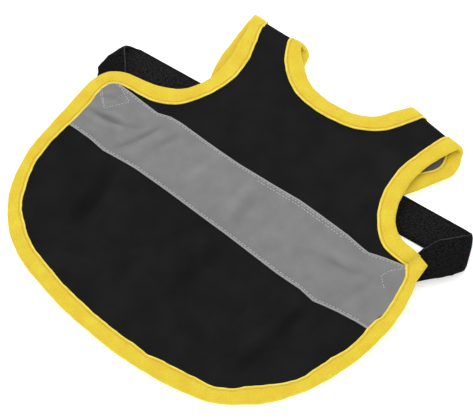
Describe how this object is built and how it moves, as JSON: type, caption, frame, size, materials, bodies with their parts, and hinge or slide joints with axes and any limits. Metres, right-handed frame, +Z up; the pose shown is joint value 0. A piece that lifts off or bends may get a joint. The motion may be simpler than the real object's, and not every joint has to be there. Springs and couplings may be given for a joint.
{
  "type": "chicken safety vest",
  "caption": "Black pet vest laid flat with yellow bound edges, a wide grey reflective band, two shoulder straps folded over to a chest bib and an elastic belly strap.",
  "frame": {"origin": "centre of the bounding box at the level of the surface it lies on", "axes": "+Z up off the surface, +Y from the hem towards the neck, +X across the vest towards the sharp wing tip"},
  "size_m": [0.3072, 0.2766, 0.0113],
  "materials": {
    "black_cloth": "matt close weave",
    "yellow_binding": "matt folded bias tape",
    "grey_band": "satin retroreflective tape",
    "black_elastic": "soft brushed elastic"
  },
  "bodies": {
    "root": {"back_panel": "black_cloth", "chest_panel": "black_cloth", "outer_binding": "yellow_binding", "neck_binding": "yellow_binding", "reflective_band": "grey_band", "belly_strap": "black_elastic"}
  },
  "joints": []
}
